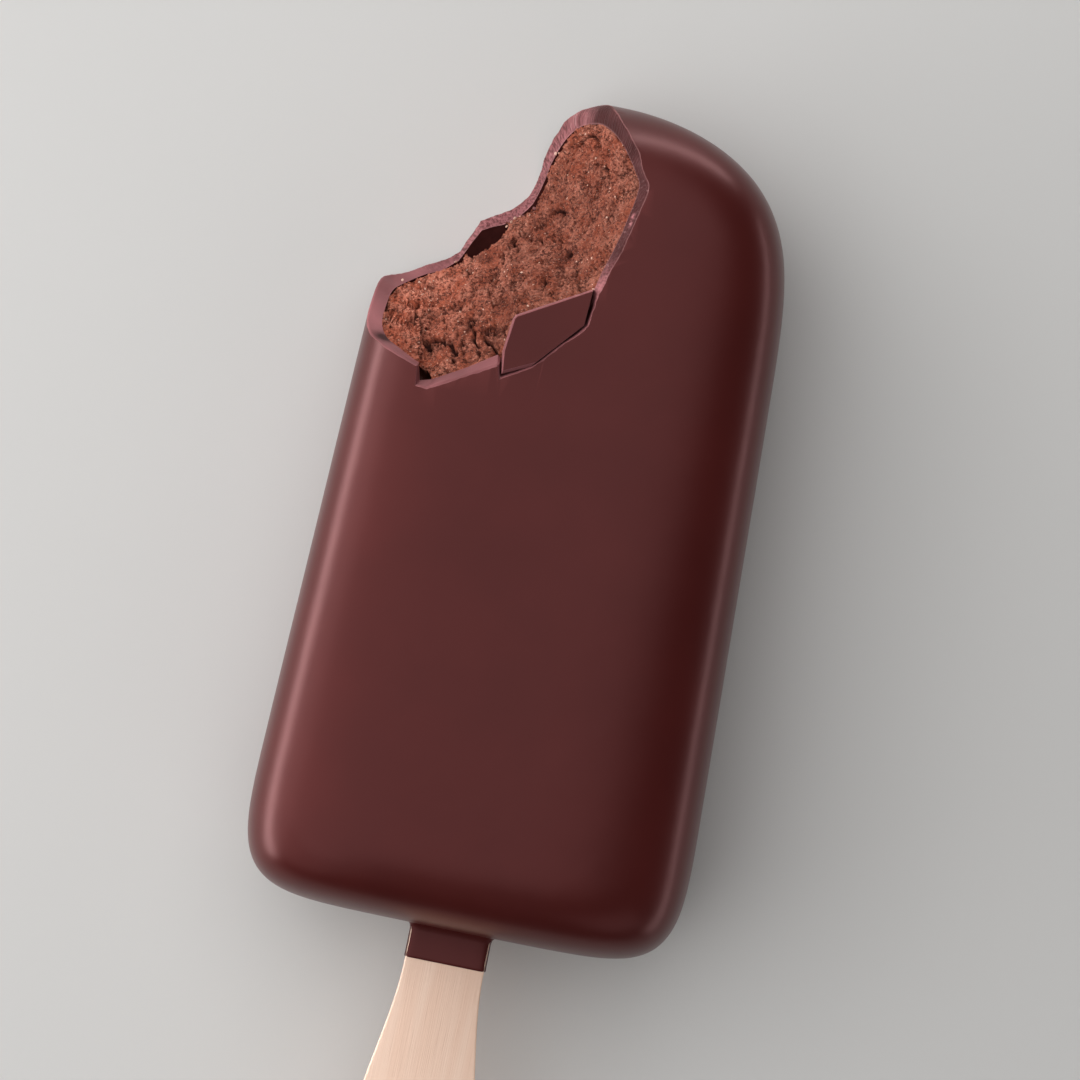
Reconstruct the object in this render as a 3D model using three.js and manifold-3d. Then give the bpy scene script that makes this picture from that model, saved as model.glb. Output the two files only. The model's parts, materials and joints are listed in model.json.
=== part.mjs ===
// Bitten ice cream bar on a wooden stick: an ice cream core in a dark chocolate coating,
// lying on its back. Millimetres, +Z up, +Y towards the rounded top, stick towards -Y.
import * as THREE from 'three';
import { mergeVertices } from 'three/addons/utils/BufferGeometryUtils.js';
import Module from 'manifold-3d';

const { clamp, degToRad, lerp, smoothstep } = THREE.MathUtils;

// ---- Driving dimensions -------------------------------------------------------------------

// Bar. Body y runs from 0 at the stick end to BODY_LENGTH at the rounded top.
const BODY_LENGTH = 88.7;
const HALF_WIDTH = 24.0;
const HALF_THICKNESS = 12.6;
const SIDE_DRAFT = Math.tan(degToRad(2.07));
const FACE_DRAFT = Math.tan(degToRad(1.1));
const REST_FLAT = 0.3;
const SIDE_POWER = 3.8;
const FACE_POWER = 3.5;
const COATING = 1.6;
const TOP_THICKER = 1.35; // melted chocolate gathers at the top of a dipped bar
const FIT_GAP = 0.3;

// How the bar closes at its ends: the length of the closing stretch and the powers of its curve.
const STICK_END_OUTLINE = { length: 20, power: 5.1, root: 6.7 };
const TOP_OUTLINE = { length: 33.3, power: 5, root: 1.944 };
const STICK_END_FACE = { length: 9, power: 3, root: 3.2 };
const TOP_FACE = { length: 14, power: 2.6, root: 2.2 };

// Stick, and the chocolate that runs down onto it.
const STICK_OUT = 48;
const STICK_IN = 46;
const STICK_THICKNESS = 2;
const STICK_WAIST = 8.5;
const STICK_FLARE = 13;
const FLARE_START = 4;
const FLARE_END = 24;
const STICK_ROUNDING = 0.3;
const SLEEVE_LENGTH = 3.8;
const SLEEVE_WALL = 0.35;
const SLEEVE_CLEARANCE = 0.15;

// Bite. Each row is a line down the bitten face, bent at the coating's inner lip: x and body y
// where it passes the height of the front face, the place of the lip, and x and y at the height
// of the back face. Rows run from left to top.
const FRONT_HEIGHT = 22.5;
const BITE_ROWS = [
  { front: [-25.0, 57.4], lip: [-24.2, 62.9, 13.0], back: [-24.0, 72.6], corner: true },
  { front: [-19.9, 58.0], lip: [-19.3, 60.1, 16.5], back: [-20.4, 69.0] },
  { front: [-15.25, 57.2], lip: [-15.2, 57.8, 19.5], back: [-17.2, 69.6] },
  { front: [-15.1, 55.1], lip: [-14.65, 56.1, 19.8], back: [-15.3, 70.3] },
  { front: [-13.95, 55.0], lip: [-13.4, 56.5, 20.2], back: [-13.8, 71.3], corner: true },
  { front: [-7.1, 59.1], lip: [-7.3, 60.1, 20.9], back: [-12.4, 74.8], corner: true },
  { front: [-6.95, 59.1], lip: [-6.9, 59.8, 20.9], back: [-11.2, 75.4] },
  { front: [-6.6, 57.7], lip: [-6.7, 58.4, 20.9], back: [-10.0, 76.0] },
  { front: [-3.5, 59.7], lip: [-3.6, 60.2, 20.9], back: [-9.0, 76.8] },
  { front: [1.3, 64.8], lip: [1.0, 65.2, 20.9], back: [-8.2, 77.7] },
  { front: [1.7, 68.3], lip: [1.15, 68.8, 20.7], back: [-7.6, 78.7] },
  { front: [3.35, 73.4], lip: [2.4, 73.6, 20.5], back: [-7.3, 81.2] },
  { front: [5.2, 80.3], lip: [3.75, 80.6, 19.5], back: [-7.6, 82.7] },
  { front: [3.95, 82.3], lip: [3.25, 82.4, 20.0], back: [-7.6, 84.6] },
  { front: [2.9, 84.3], lip: [2.7, 84.3, 20.0], back: [-7.5, 85.6] },
  { front: [1.75, 87.4], lip: [1.55, 87.6, 20.0], back: [-5.9, 88.2] },
  { front: [0.7, 91.0], lip: [0.7, 91.0, 20.0], back: [0.7, 91.0], corner: true },
];

// Where the ice cream's lip lies apart from the coating's: it keeps its front face under the
// broken plate and has shrunk a little from the coating at the top.
const CORE_LIPS = {
  6: [-7.2, 60.1, 20.9],
  7: [-6.4, 64.2, 20.9],
  8: [-2.9, 66.3, 20.9],
  9: [0.5, 68.3, 20.7],
  10: [1.1, 69.0, 20.7],
  12: [3.5, 80.7, 19.5],
  13: [3.1, 82.4, 20.0],
  14: [2.4, 84.2, 20.0],
};

// Plate of coating that cracked off and stayed on, its right side a little sunk: its corners on
// the front face and at its foot, which slants with the broken edge beside it.
const PLATE_CORNERS = [
  { top: [-6.2, 64.4], foot: [-6.3, 64.6] },
  { top: [-6.35, 58.3], foot: [-6.35, 59.0] },
  { top: [-3.55, 60.0], foot: [-3.85, 60.6] },
  { top: [0.95, 64.9], foot: [0.45, 65.2] },
  { top: [1.15, 68.6], foot: [0.7, 68.6] },
];
const PLATE_MIDDLE = [-2.8, 63.2];
const PLATE_THICKNESS = 1.5;
const PLATE_TILT = degToRad(1.5);
const PLATE_LIFT = 0.05;

// Hollow between the back wall and the ice cream, and the small gap at the front corner.
const HOLLOW = { centre: [-11.1, 72.6, 2.4], radii: [2.8, 1.2, 2.6], turn: 53 };
const CORNER_GAP = { centre: [-14.6, 56.7, 19.6], radii: [1.4, 0.75, 2.0], turn: -45 };

// Torn surface of the ice cream: two sizes of lumps, and cracks along lines on the bitten face,
// whose points are a row number and a height.
const LUMPS = [{ size: 3.4, depth: 0.34, seed: 11 }, { size: 1.4, depth: 0.3, seed: 29 }];
const CORE_RECESS = 0.25;
const CRACK_DEPTH = 1.0;
const CRACK_WIDTH = 0.55;
const CRACKS = [
  [[1.8, 10.4], [2.3, 13.9], [3.2, 15.1]],
  [[2.9, 14.1], [4.1, 15.3]],
  [[4.1, 14.7], [4.3, 18.7]],
  [[4.6, 15.0], [4.7, 19.9]],
  [[4.8, 17.1], [5.7, 20.6]],
  [[4.1, 9.4], [4.6, 9.9]],
  [[8.8, 5.3], [10.2, 5.3], [10.5, 7.8]],
  [[7.8, 14.8], [8.1, 16.4]],
  [[13.0, 6.8], [14.0, 11.0]],
];

// Fineness of the faceted surfaces.
const COATING_SIDES = 48;
const CORE_SIDES = 36;
const STICK_END_STEPS = 8;
const TOP_STEPS = 11;
const STRAIGHT_STEPS = 3;
const BITE_COLUMN = 1.6;
const BITE_HEIGHTS = 21;
const RELIEF_COLUMN = 0.62;
const RELIEF_HEIGHTS = 26;
const LUMP_DETAIL = 2;

// The whole part is centred on its origin: the body starts this far along +Y.
const BODY_START = (STICK_OUT - BODY_LENGTH) / 2;

// ---- Solids -------------------------------------------------------------------------------

const wasm = await Module();
wasm.setup();

function solidFrom(geometry) {
  geometry.deleteAttribute('normal');
  geometry.deleteAttribute('uv');
  const merged = mergeVertices(geometry, 1e-5);
  return new wasm.Manifold(new wasm.Mesh({
    numProp: 3,
    vertProperties: new Float32Array(merged.attributes.position.array),
    triVerts: new Uint32Array(merged.index.array),
  }));
}

function solidOf(points, faces) {
  const geometry = new THREE.BufferGeometry();
  const numbers = points.flatMap((p) => p.toArray());
  geometry.setAttribute('position', new THREE.Float32BufferAttribute(numbers, 3));
  geometry.setIndex(faces.flat());
  return solidFrom(geometry);
}

function meshOf(name, solid, look) {
  const { vertProperties, triVerts } = solid.getMesh();
  const geometry = new THREE.BufferGeometry();
  geometry.setAttribute('position', new THREE.Float32BufferAttribute(vertProperties, 3));
  geometry.setIndex(Array.from(triVerts));
  geometry.computeVertexNormals();
  const mesh = new THREE.Mesh(geometry, new THREE.MeshStandardMaterial({ ...look, metalness: 0 }));
  mesh.name = name;
  return mesh;
}

// Quads between rings of equal length that follow each other, all facing out.
function ringFaces(ringCount, sides) {
  const faces = [];
  for (let r = 0; r < ringCount - 1; r += 1) {
    for (let i = 0; i < sides; i += 1) {
      const here = r * sides;
      const there = here + sides;
      const next = (i + 1) % sides;
      faces.push([here + i, here + next, there + next]);
      faces.push([here + i, there + next, there + i]);
    }
  }
  return faces;
}

// Flat cap over one ring, facing along the rings' direction or against it.
function capFaces(outline, firstIndex, forward) {
  return THREE.ShapeUtils.triangulateShape(outline, []).map(([a, b, c]) => {
    const order = forward ? [a, b, c] : [a, c, b];
    return order.map((index) => firstIndex + index);
  });
}

// A rounded lump at a place, turned about z by an angle in degrees.
function lump({ centre, radii, turn }) {
  const geometry = new THREE.IcosahedronGeometry(1, LUMP_DETAIL);
  geometry.scale(...radii);
  geometry.rotateZ(degToRad(turn));
  geometry.translate(...centre);
  return solidFrom(geometry);
}

// ---- Form of the bar ----------------------------------------------------------------------

const closing = (share, shape) => Math.max(1 - share ** shape.power, 0) ** (1 / shape.root);

function taper(y, inset, start, end) {
  const low = clamp(1 - (y - inset) / (start.length - inset), 0, 1);
  const high = clamp((y - BODY_LENGTH + end.length) / (end.length - TOP_THICKER * inset), 0, 1);
  return closing(low, start) * closing(high, end);
}

const halfWidth = (y, inset) =>
  (HALF_WIDTH - inset - SIDE_DRAFT * y) * taper(y, inset, STICK_END_OUTLINE, TOP_OUTLINE);

const halfThickness = (y, inset) =>
  (HALF_THICKNESS - inset - FACE_DRAFT * y) * taper(y, inset, STICK_END_FACE, TOP_FACE);

const midHeight = (y) => HALF_THICKNESS - FACE_DRAFT * y - REST_FLAT;

const signedPower = (value, power) => Math.sign(value) * Math.abs(value) ** power;

// Ring of points round the bar at body y, set in from the outside by inset, flat underneath.
function bodyRing(y, inset, sides) {
  return Array.from({ length: sides }, (_, i) => {
    const angle = (-(i + 0.5) / sides) * 2 * Math.PI;
    const x = halfWidth(y, inset) * signedPower(Math.cos(angle), 2 / SIDE_POWER);
    const z = halfThickness(y, inset) * signedPower(Math.sin(angle), 2 / FACE_POWER);
    return new THREE.Vector3(x, y, Math.max(midHeight(y) + z, inset));
  });
}

// Stations along the bar, close together where it closes.
function bodyStations(inset) {
  const quarter = Math.PI / 2;
  const stations = [];
  for (let i = 1; i <= STICK_END_STEPS; i += 1) {
    const share = 1 - Math.cos((quarter * i) / STICK_END_STEPS) ** (2 / STICK_END_OUTLINE.power);
    stations.push(inset + (STICK_END_OUTLINE.length - inset) * share);
  }
  const topStart = BODY_LENGTH - TOP_OUTLINE.length;
  for (let i = 1; i <= STRAIGHT_STEPS; i += 1) {
    stations.push(lerp(STICK_END_OUTLINE.length, topStart, i / STRAIGHT_STEPS));
  }
  for (let i = 1; i < TOP_STEPS; i += 1) {
    const share = Math.sin((quarter * i) / TOP_STEPS) ** (2 / TOP_OUTLINE.power);
    stations.push(topStart + (TOP_OUTLINE.length - TOP_THICKER * inset) * share);
  }
  return stations;
}

function bodySolid(inset, sides) {
  const rings = bodyStations(inset).map((y) => bodyRing(y, inset, sides));
  const start = new THREE.Vector3(0, inset, midHeight(0));
  const end = new THREE.Vector3(0, BODY_LENGTH - TOP_THICKER * inset, midHeight(BODY_LENGTH));
  const points = [...rings.flat(), start, end];
  const startIndex = points.length - 2;
  const lastRing = startIndex - sides;
  const faces = ringFaces(rings.length, sides);
  for (let i = 0; i < sides; i += 1) {
    const next = (i + 1) % sides;
    faces.push([startIndex, next, i]);
    faces.push([startIndex + 1, lastRing + i, lastRing + next]);
  }
  return solidOf(points, faces);
}

// ---- Bite ---------------------------------------------------------------------------------

const BITE_LOW = -3;
const BITE_HIGH = 27;
const FAR_LEFT = -60;
const FAR_TOP = 130;
const LAST_ROW = BITE_ROWS.length - 1;

const coreRows = BITE_ROWS.map((row, i) => (CORE_LIPS[i] ? { ...row, lip: CORE_LIPS[i] } : row));

function catmullRom(a, b, c, d, t) {
  const cubic = 3 * b - a - 3 * c + d;
  const square = 2 * a - 5 * b + 4 * c - d;
  return 0.5 * (2 * b + (c - a) * t + square * t ** 2 + cubic * t ** 3);
}

// Point of the bitten face at a fractional row number and a height. Front and lip run straight
// from row to row, the back on a smooth curve between corners.
function bitePoint(rows, along, height) {
  const i = Math.min(Math.floor(along), LAST_ROW - 1);
  const share = along - i;
  const [here, next] = [rows[i], rows[i + 1]];
  const before = here.corner ? here : rows[i - 1];
  const after = next.corner ? next : rows[i + 2];
  const lipHeight = lerp(here.lip[2], next.lip[2], share);
  const [x, y] = [0, 1].map((k) => {
    const lip = lerp(here.lip[k], next.lip[k], share);
    if (height > lipHeight) {
      const front = lerp(here.front[k], next.front[k], share);
      return lerp(lip, front, (height - lipHeight) / (FRONT_HEIGHT - lipHeight));
    }
    const back = catmullRom(before.back[k], here.back[k], next.back[k], after.back[k], share);
    return lerp(back, lip, height / lipHeight);
  });
  return new THREE.Vector3(x, y, height);
}

// Fractional row numbers that split the bitten face into columns about one size wide.
function biteColumns(rows, size) {
  const columns = [];
  for (let i = 0; i < LAST_ROW; i += 1) {
    const low = bitePoint(rows, i, 0).distanceTo(bitePoint(rows, i + 1, 0));
    const high = bitePoint(rows, i, FRONT_HEIGHT).distanceTo(bitePoint(rows, i + 1, FRONT_HEIGHT));
    const parts = Math.max(1, Math.round((low + high) / 2 / size));
    for (let k = 0; k < parts; k += 1) columns.push(i + k / parts);
  }
  return [...columns, LAST_ROW];
}

// Solid that takes the bite away: the bitten face, closed far out to the left and the top.
function biteCutter(rows, columns, heights, recess) {
  const levels = heights.map((height) => {
    const face = columns.map((along) => {
      const point = bitePoint(rows, along, height);
      return point.addScaledVector(inward(rows, along, height), recess(point));
    });
    return [...face, new THREE.Vector3(face.at(-1).x, FAR_TOP, height), new THREE.Vector3(FAR_LEFT, FAR_TOP, height)];
  });
  const sides = levels[0].length;
  const outline = (level) => level.map((p) => new THREE.Vector2(p.x, p.y));
  const topIndex = (levels.length - 1) * sides;
  return solidOf(levels.flat(), [
    ...ringFaces(levels.length, sides),
    ...capFaces(outline(levels[0]), 0, false),
    ...capFaces(outline(levels.at(-1)), topIndex, true),
  ]);
}

// Level direction from the bitten face into the bar.
function inward(rows, along, height) {
  const step = 0.25;
  const before = bitePoint(rows, Math.max(along - step, 0), height);
  const after = bitePoint(rows, Math.min(along + step, LAST_ROW), height);
  const run = after.sub(before).normalize();
  return new THREE.Vector3(run.y, -run.x, 0);
}

// Repeatable noise between -1 and 1 that changes smoothly over one unit.
function noise(point, seed) {
  const corner = point.clone().floor();
  const share = point.clone().sub(corner);
  const ease = share.toArray().map((value) => smoothstep(value, 0, 1));
  let total = 0;
  for (let k = 0; k < 8; k += 1) {
    const pick = [k & 1, (k >> 1) & 1, (k >> 2) & 1];
    const weight = pick.reduce((product, side, axis) => product * (side ? ease[axis] : 1 - ease[axis]), 1);
    const [x, y, z] = pick.map((side, axis) => corner.getComponent(axis) + side);
    const scatter = Math.sin(x * 127.1 + y * 311.7 + z * 74.7 + seed) * 43758.5453;
    total += weight * (scatter - Math.floor(scatter));
  }
  return 2 * total - 1;
}

const crackPlaces = CRACKS.map((line) => line.map(([row, height]) => bitePoint(coreRows, row, height)));

function distanceToLine(point, line) {
  const nearest = new THREE.Vector3();
  let least = Infinity;
  for (let i = 0; i < line.length - 1; i += 1) {
    new THREE.Line3(line[i], line[i + 1]).closestPointToPoint(point, true, nearest);
    least = Math.min(least, nearest.distanceTo(point));
  }
  return least;
}

// How far the torn ice cream lies behind the bitten face at a point.
function tornRecess(point) {
  const lumps = LUMPS.map(({ size, depth, seed }) => depth * noise(point.clone().divideScalar(size), seed));
  const cracks = crackPlaces.map((line) => Math.exp(-((distanceToLine(point, line) / CRACK_WIDTH) ** 2)));
  return CORE_RECESS + lumps.reduce((sum, value) => sum + value, 0) + CRACK_DEPTH * Math.max(...cracks);
}

const heightsBetween = (count) =>
  Array.from({ length: count }, (_, i) => lerp(BITE_LOW, BITE_HIGH, i / (count - 1)));

const coatingBite = () =>
  biteCutter(BITE_ROWS, biteColumns(BITE_ROWS, BITE_COLUMN), heightsBetween(BITE_HEIGHTS), () => 0);

const coreBite = () =>
  biteCutter(coreRows, biteColumns(coreRows, RELIEF_COLUMN), heightsBetween(RELIEF_HEIGHTS), tornRecess);

// ---- Broken plate -------------------------------------------------------------------------

function frontHeight(x, y) {
  const share = Math.abs(x / halfWidth(y, 0)) ** SIDE_POWER;
  return midHeight(y) + halfThickness(y, 0) * (1 - share) ** (1 / FACE_POWER);
}

function plateSolid() {
  const top = PLATE_CORNERS.map(({ top: [x, y] }) => new THREE.Vector3(x, y, frontHeight(x, y)));
  const foot = PLATE_CORNERS.map(({ foot: [x, y] }) => new THREE.Vector3(x, y, frontHeight(x, y) - PLATE_THICKNESS));
  const [middleX, middleY] = PLATE_MIDDLE;
  const middle = new THREE.Vector3(middleX, middleY, frontHeight(middleX, middleY));
  const place = new THREE.Matrix4()
    .makeTranslation(middle.x, middle.y, middle.z + PLATE_LIFT)
    .multiply(new THREE.Matrix4().makeRotationY(PLATE_TILT))
    .multiply(new THREE.Matrix4().makeTranslation(-middle.x, -middle.y, -middle.z));
  const outline = (ring) => ring.map((p) => new THREE.Vector2(p.x, p.y));
  const faces = [
    ...ringFaces(2, top.length),
    ...capFaces(outline(foot), 0, false),
    ...capFaces(outline(top), foot.length, true),
  ];
  return solidOf([...foot, ...top].map((p) => p.applyMatrix4(place)), faces);
}

// ---- Stick --------------------------------------------------------------------------------

const STICK_HEIGHT = midHeight(0);
const STICK_STEPS = 12;

// Half width of the stick at a distance outside the bar.
const stickHalfWidth = (out) => lerp(STICK_WAIST, STICK_FLARE, smoothstep(out, FLARE_START, FLARE_END)) / 2;

// Flat piece in the stick's plane, from its outline seen from above.
function flatPiece(shape, thickness, rounding) {
  const geometry = new THREE.ExtrudeGeometry(shape, {
    depth: thickness - 2 * rounding,
    curveSegments: STICK_STEPS,
    bevelEnabled: rounding > 0,
    bevelThickness: rounding,
    bevelSize: rounding,
    bevelOffset: -rounding,
    bevelSegments: 2,
  });
  geometry.translate(0, 0, STICK_HEIGHT - thickness / 2 + rounding);
  return solidFrom(geometry);
}

// The whole stick: straight inside the bar, wider outside it, with round ends.
function stickSolid() {
  const outerRadius = STICK_FLARE / 2;
  const innerRadius = STICK_WAIST / 2;
  const outerCentre = outerRadius - STICK_OUT;
  const side = Array.from({ length: STICK_STEPS - 1 }, (_, i) => {
    const y = lerp(outerCentre, -FLARE_START, (i + 1) / STICK_STEPS);
    return [stickHalfWidth(-y), y];
  });
  const shape = new THREE.Shape();
  shape.absarc(0, outerCentre, outerRadius, Math.PI, 2 * Math.PI, false);
  side.forEach(([x, y]) => shape.lineTo(x, y));
  shape.absarc(0, STICK_IN - innerRadius, innerRadius, 0, Math.PI, false);
  side.reverse().forEach(([x, y]) => shape.lineTo(-x, y));
  return flatPiece(shape, STICK_THICKNESS, STICK_ROUNDING);
}

// Straight run round the stick with the given room to it on every side.
function stickRun(from, to, room) {
  const half = STICK_WAIST / 2 + room;
  const corners = [[-half, from], [half, from], [half, to], [-half, to]];
  const shape = new THREE.Shape(corners.map(([x, y]) => new THREE.Vector2(x, y)));
  return flatPiece(shape, STICK_THICKNESS + 2 * room, 0);
}

// ---- Parts --------------------------------------------------------------------------------

const CORE_INSET = COATING + FIT_GAP;
const NECK_OVERLAP = 3;

function coatingSolid() {
  const sleeve = stickRun(-SLEEVE_LENGTH, NECK_OVERLAP, SLEEVE_CLEARANCE + SLEEVE_WALL);
  const neck = stickRun(-SLEEVE_LENGTH - 1, NECK_OVERLAP, SLEEVE_CLEARANCE);
  return bodySolid(0, COATING_SIDES)
    .add(sleeve)
    .subtract(bodySolid(COATING, COATING_SIDES))
    .subtract(neck)
    .subtract(coatingBite());
}

function iceCreamSolid() {
  const slot = stickRun(0, STICK_IN + FIT_GAP, FIT_GAP);
  return bodySolid(CORE_INSET, CORE_SIDES)
    .subtract(slot)
    .subtract(coreBite())
    .subtract(lump(HOLLOW))
    .subtract(lump(CORNER_GAP));
}

const bar = new THREE.Group();
bar.position.y = BODY_START;
bar.add(meshOf('coating', coatingSolid(), { color: '#4a2725', roughness: 0.38 }));
bar.add(meshOf('ice_cream', iceCreamSolid(), { color: '#8a5543', roughness: 0.9 }));
bar.add(meshOf('coating_shard', plateSolid(), { color: '#4a2725', roughness: 0.38 }));
bar.add(meshOf('stick', stickSolid(), { color: '#fdd8c2', roughness: 0.75 }));

const part = new THREE.Group();
part.add(bar);

export default part;
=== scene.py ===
"""A bitten chocolate ice cream bar on a wooden stick, lying on its back on a pale floor."""
import json
import math
import random

import bmesh
import bpy
import numpy as np
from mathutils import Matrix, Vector, noise
from mathutils.bvhtree import BVHTree
from mathutils.kdtree import KDTree

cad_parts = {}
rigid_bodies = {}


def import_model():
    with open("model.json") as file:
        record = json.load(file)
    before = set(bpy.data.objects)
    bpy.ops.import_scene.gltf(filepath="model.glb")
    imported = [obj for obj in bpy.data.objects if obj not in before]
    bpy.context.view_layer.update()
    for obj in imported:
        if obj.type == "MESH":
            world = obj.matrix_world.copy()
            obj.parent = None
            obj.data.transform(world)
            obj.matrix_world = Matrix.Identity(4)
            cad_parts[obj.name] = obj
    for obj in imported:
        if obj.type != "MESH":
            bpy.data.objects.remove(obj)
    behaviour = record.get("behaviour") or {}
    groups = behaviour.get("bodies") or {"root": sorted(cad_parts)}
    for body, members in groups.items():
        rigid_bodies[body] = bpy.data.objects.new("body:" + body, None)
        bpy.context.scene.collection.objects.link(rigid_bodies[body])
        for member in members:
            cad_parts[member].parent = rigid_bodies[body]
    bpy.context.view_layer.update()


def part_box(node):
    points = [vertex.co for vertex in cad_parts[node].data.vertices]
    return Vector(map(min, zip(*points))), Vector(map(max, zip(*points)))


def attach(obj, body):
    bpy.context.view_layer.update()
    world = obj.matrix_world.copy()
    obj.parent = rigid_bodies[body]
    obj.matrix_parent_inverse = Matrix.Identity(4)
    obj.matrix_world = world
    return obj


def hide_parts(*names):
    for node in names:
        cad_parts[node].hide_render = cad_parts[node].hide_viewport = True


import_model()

# ---- Sizes of the bar, in millimetres ------------------------------------------------------
# Pieces are modelled in millimetres with body y from 0 at the stick end, then moved into the
# frame in metres.

MM = 0.001
BODY_LENGTH = 88.7
HALF_WIDTH = 24.0
HALF_THICKNESS = 12.6
SIDE_DRAFT = math.tan(math.radians(2.07))
FACE_DRAFT = math.tan(math.radians(1.1))
REST_FLAT = 0.3
SIDE_POWER = 3.8
FACE_POWER = 3.5
COATING = 1.6
# The ice cream reaches a little into the coating, so no gap shows between them.
CORE_INSET = 1.57
# Melted chocolate gathers at the top of a dipped bar.
TOP_THICKER = 1.35

# How the bar closes at its ends: closing length, power and root of the curve.
STICK_END_OUTLINE = (20, 5.1, 6.7)
TOP_OUTLINE = (33.3, 5, 1.944)
STICK_END_FACE = (9, 3, 3.2)
TOP_FACE = (14, 2.6, 2.2)

STICK_OUT = 48
STICK_IN = 46
STICK_THICKNESS = 2
STICK_WAIST = 8.5
STICK_FLARE = 13
FLARE_START = 4
FLARE_END = 24
STICK_EDGE = 0.22
SLEEVE_LENGTH = 3.8
SLEEVE_WALL = 0.13

BODY_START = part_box("stick")[0].y / MM + STICK_OUT
BODY_MIDDLE = BODY_START + BODY_LENGTH / 2

# Bitten face, row by row from the left: x and y at the height of the front, the place of the
# coating's inner lip, x and y at the height of the floor, and whether the row is a corner.
FRONT_HEIGHT = 22.5
BITE_ROWS = [
    ((-25.0, 57.4), (-24.2, 62.9, 13.0), (-24.0, 72.6), True),
    ((-19.9, 58.0), (-19.3, 60.1, 16.5), (-20.4, 69.0), False),
    ((-15.25, 57.2), (-15.2, 57.8, 19.5), (-17.2, 69.6), False),
    ((-15.1, 55.1), (-14.65, 56.1, 19.8), (-15.3, 70.3), False),
    ((-13.95, 55.0), (-13.4, 56.5, 20.2), (-13.8, 71.3), True),
    ((-7.1, 59.1), (-7.3, 60.1, 20.9), (-12.4, 74.8), True),
    ((-6.95, 59.1), (-6.9, 59.8, 20.9), (-11.2, 75.4), False),
    ((-6.6, 57.7), (-6.7, 58.4, 20.9), (-10.0, 76.0), False),
    ((-3.5, 59.7), (-3.6, 60.2, 20.9), (-9.0, 76.8), False),
    ((1.3, 64.8), (1.0, 65.2, 20.9), (-8.2, 77.7), False),
    ((1.7, 68.3), (1.15, 68.8, 20.7), (-7.6, 78.7), False),
    ((3.35, 73.4), (2.4, 73.6, 20.5), (-7.3, 81.2), False),
    ((5.2, 80.3), (3.75, 80.6, 19.5), (-7.6, 82.7), False),
    ((3.95, 82.3), (3.25, 82.4, 20.0), (-7.6, 84.6), False),
    ((2.9, 84.3), (2.7, 84.3, 20.0), (-7.5, 85.6), False),
    ((1.75, 87.4), (1.55, 87.6, 20.0), (-6.7, 88.2), False),
    ((0.7, 91.0), (0.7, 91.0, 20.0), (0.7, 91.0), True),
]
# Where the ice cream's lip lies apart from the coating's: it keeps its front face under the
# broken plate and has shrunk a little from the coating at the top.
CORE_LIPS = {
    6: (-7.2, 60.1, 20.9), 7: (-6.4, 64.2, 20.9), 8: (-2.9, 66.3, 20.9), 9: (0.5, 68.3, 20.7),
    10: (1.1, 69.0, 20.7), 12: (3.5, 80.7, 19.5), 13: (3.1, 82.4, 20.0), 14: (2.4, 84.2, 20.0),
}
# How far the tool that takes the bite reaches past the bar: down, up, to the left and on top.
BITE_LOW = -3
BITE_HIGH = 27
FAR_LEFT = -60
FAR_TOP = 130

# ---- Form of the bar -----------------------------------------------------------------------

# Keeps a width or slope from being 0 where it divides.
TINY = 1e-3


def closing(share, power, root):
    """Share of the full size that is left where an end has closed by a share of its length."""
    return np.maximum(1 - share**power, 0) ** (1 / root)


def taper(y, inset, start, end):
    low = np.clip(1 - (y - inset) / (start[0] - inset), 0, 1)
    high = np.clip((y - BODY_LENGTH + end[0]) / (end[0] - TOP_THICKER * inset), 0, 1)
    return closing(low, *start[1:]) * closing(high, *end[1:])


def half_width(y, inset=0):
    return (HALF_WIDTH - inset - SIDE_DRAFT * y) * taper(y, inset, STICK_END_OUTLINE, TOP_OUTLINE)


def half_thickness(y, inset=0):
    return (HALF_THICKNESS - inset - FACE_DRAFT * y) * taper(y, inset, STICK_END_FACE, TOP_FACE)


def mid_height(y):
    return HALF_THICKNESS - FACE_DRAFT * y - REST_FLAT


def front_height(x, y):
    share = abs(x / half_width(y)) ** SIDE_POWER
    return mid_height(y) + half_thickness(y) * (1 - share) ** (1 / FACE_POWER)


def form_value(points, inset):
    """Below 1 inside the bar's form with that inset, 1 on it and above 1 outside."""
    x, y, z = points.T
    width = np.maximum(half_width(y, inset), TINY)
    height = np.maximum(half_thickness(y, inset), TINY)
    return np.abs(x / width) ** SIDE_POWER + np.abs((z - mid_height(y)) / height) ** FACE_POWER


def form_slope(points, inset):
    """How the form's value grows along each axis, a millimetre."""
    step = 0.02
    slope = np.empty_like(points)
    for axis in range(3):
        move = np.zeros(3)
        move[axis] = step
        slope[:, axis] = form_value(points + move, inset) - form_value(points - move, inset)
    return slope / (2 * step)


def depth_below(points, inset):
    """How far points lie below the bar's form with that inset, in millimetres near it."""
    slope = np.linalg.norm(form_slope(points, inset), axis=1)
    return (1 - form_value(points, inset)) / np.maximum(slope, TINY)


def form_normal(points, inset):
    """Outward direction of the bar's form at points on or near it."""
    slope = form_slope(points, inset)
    return slope / np.maximum(np.linalg.norm(slope, axis=1, keepdims=True), 1e-9)


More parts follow.
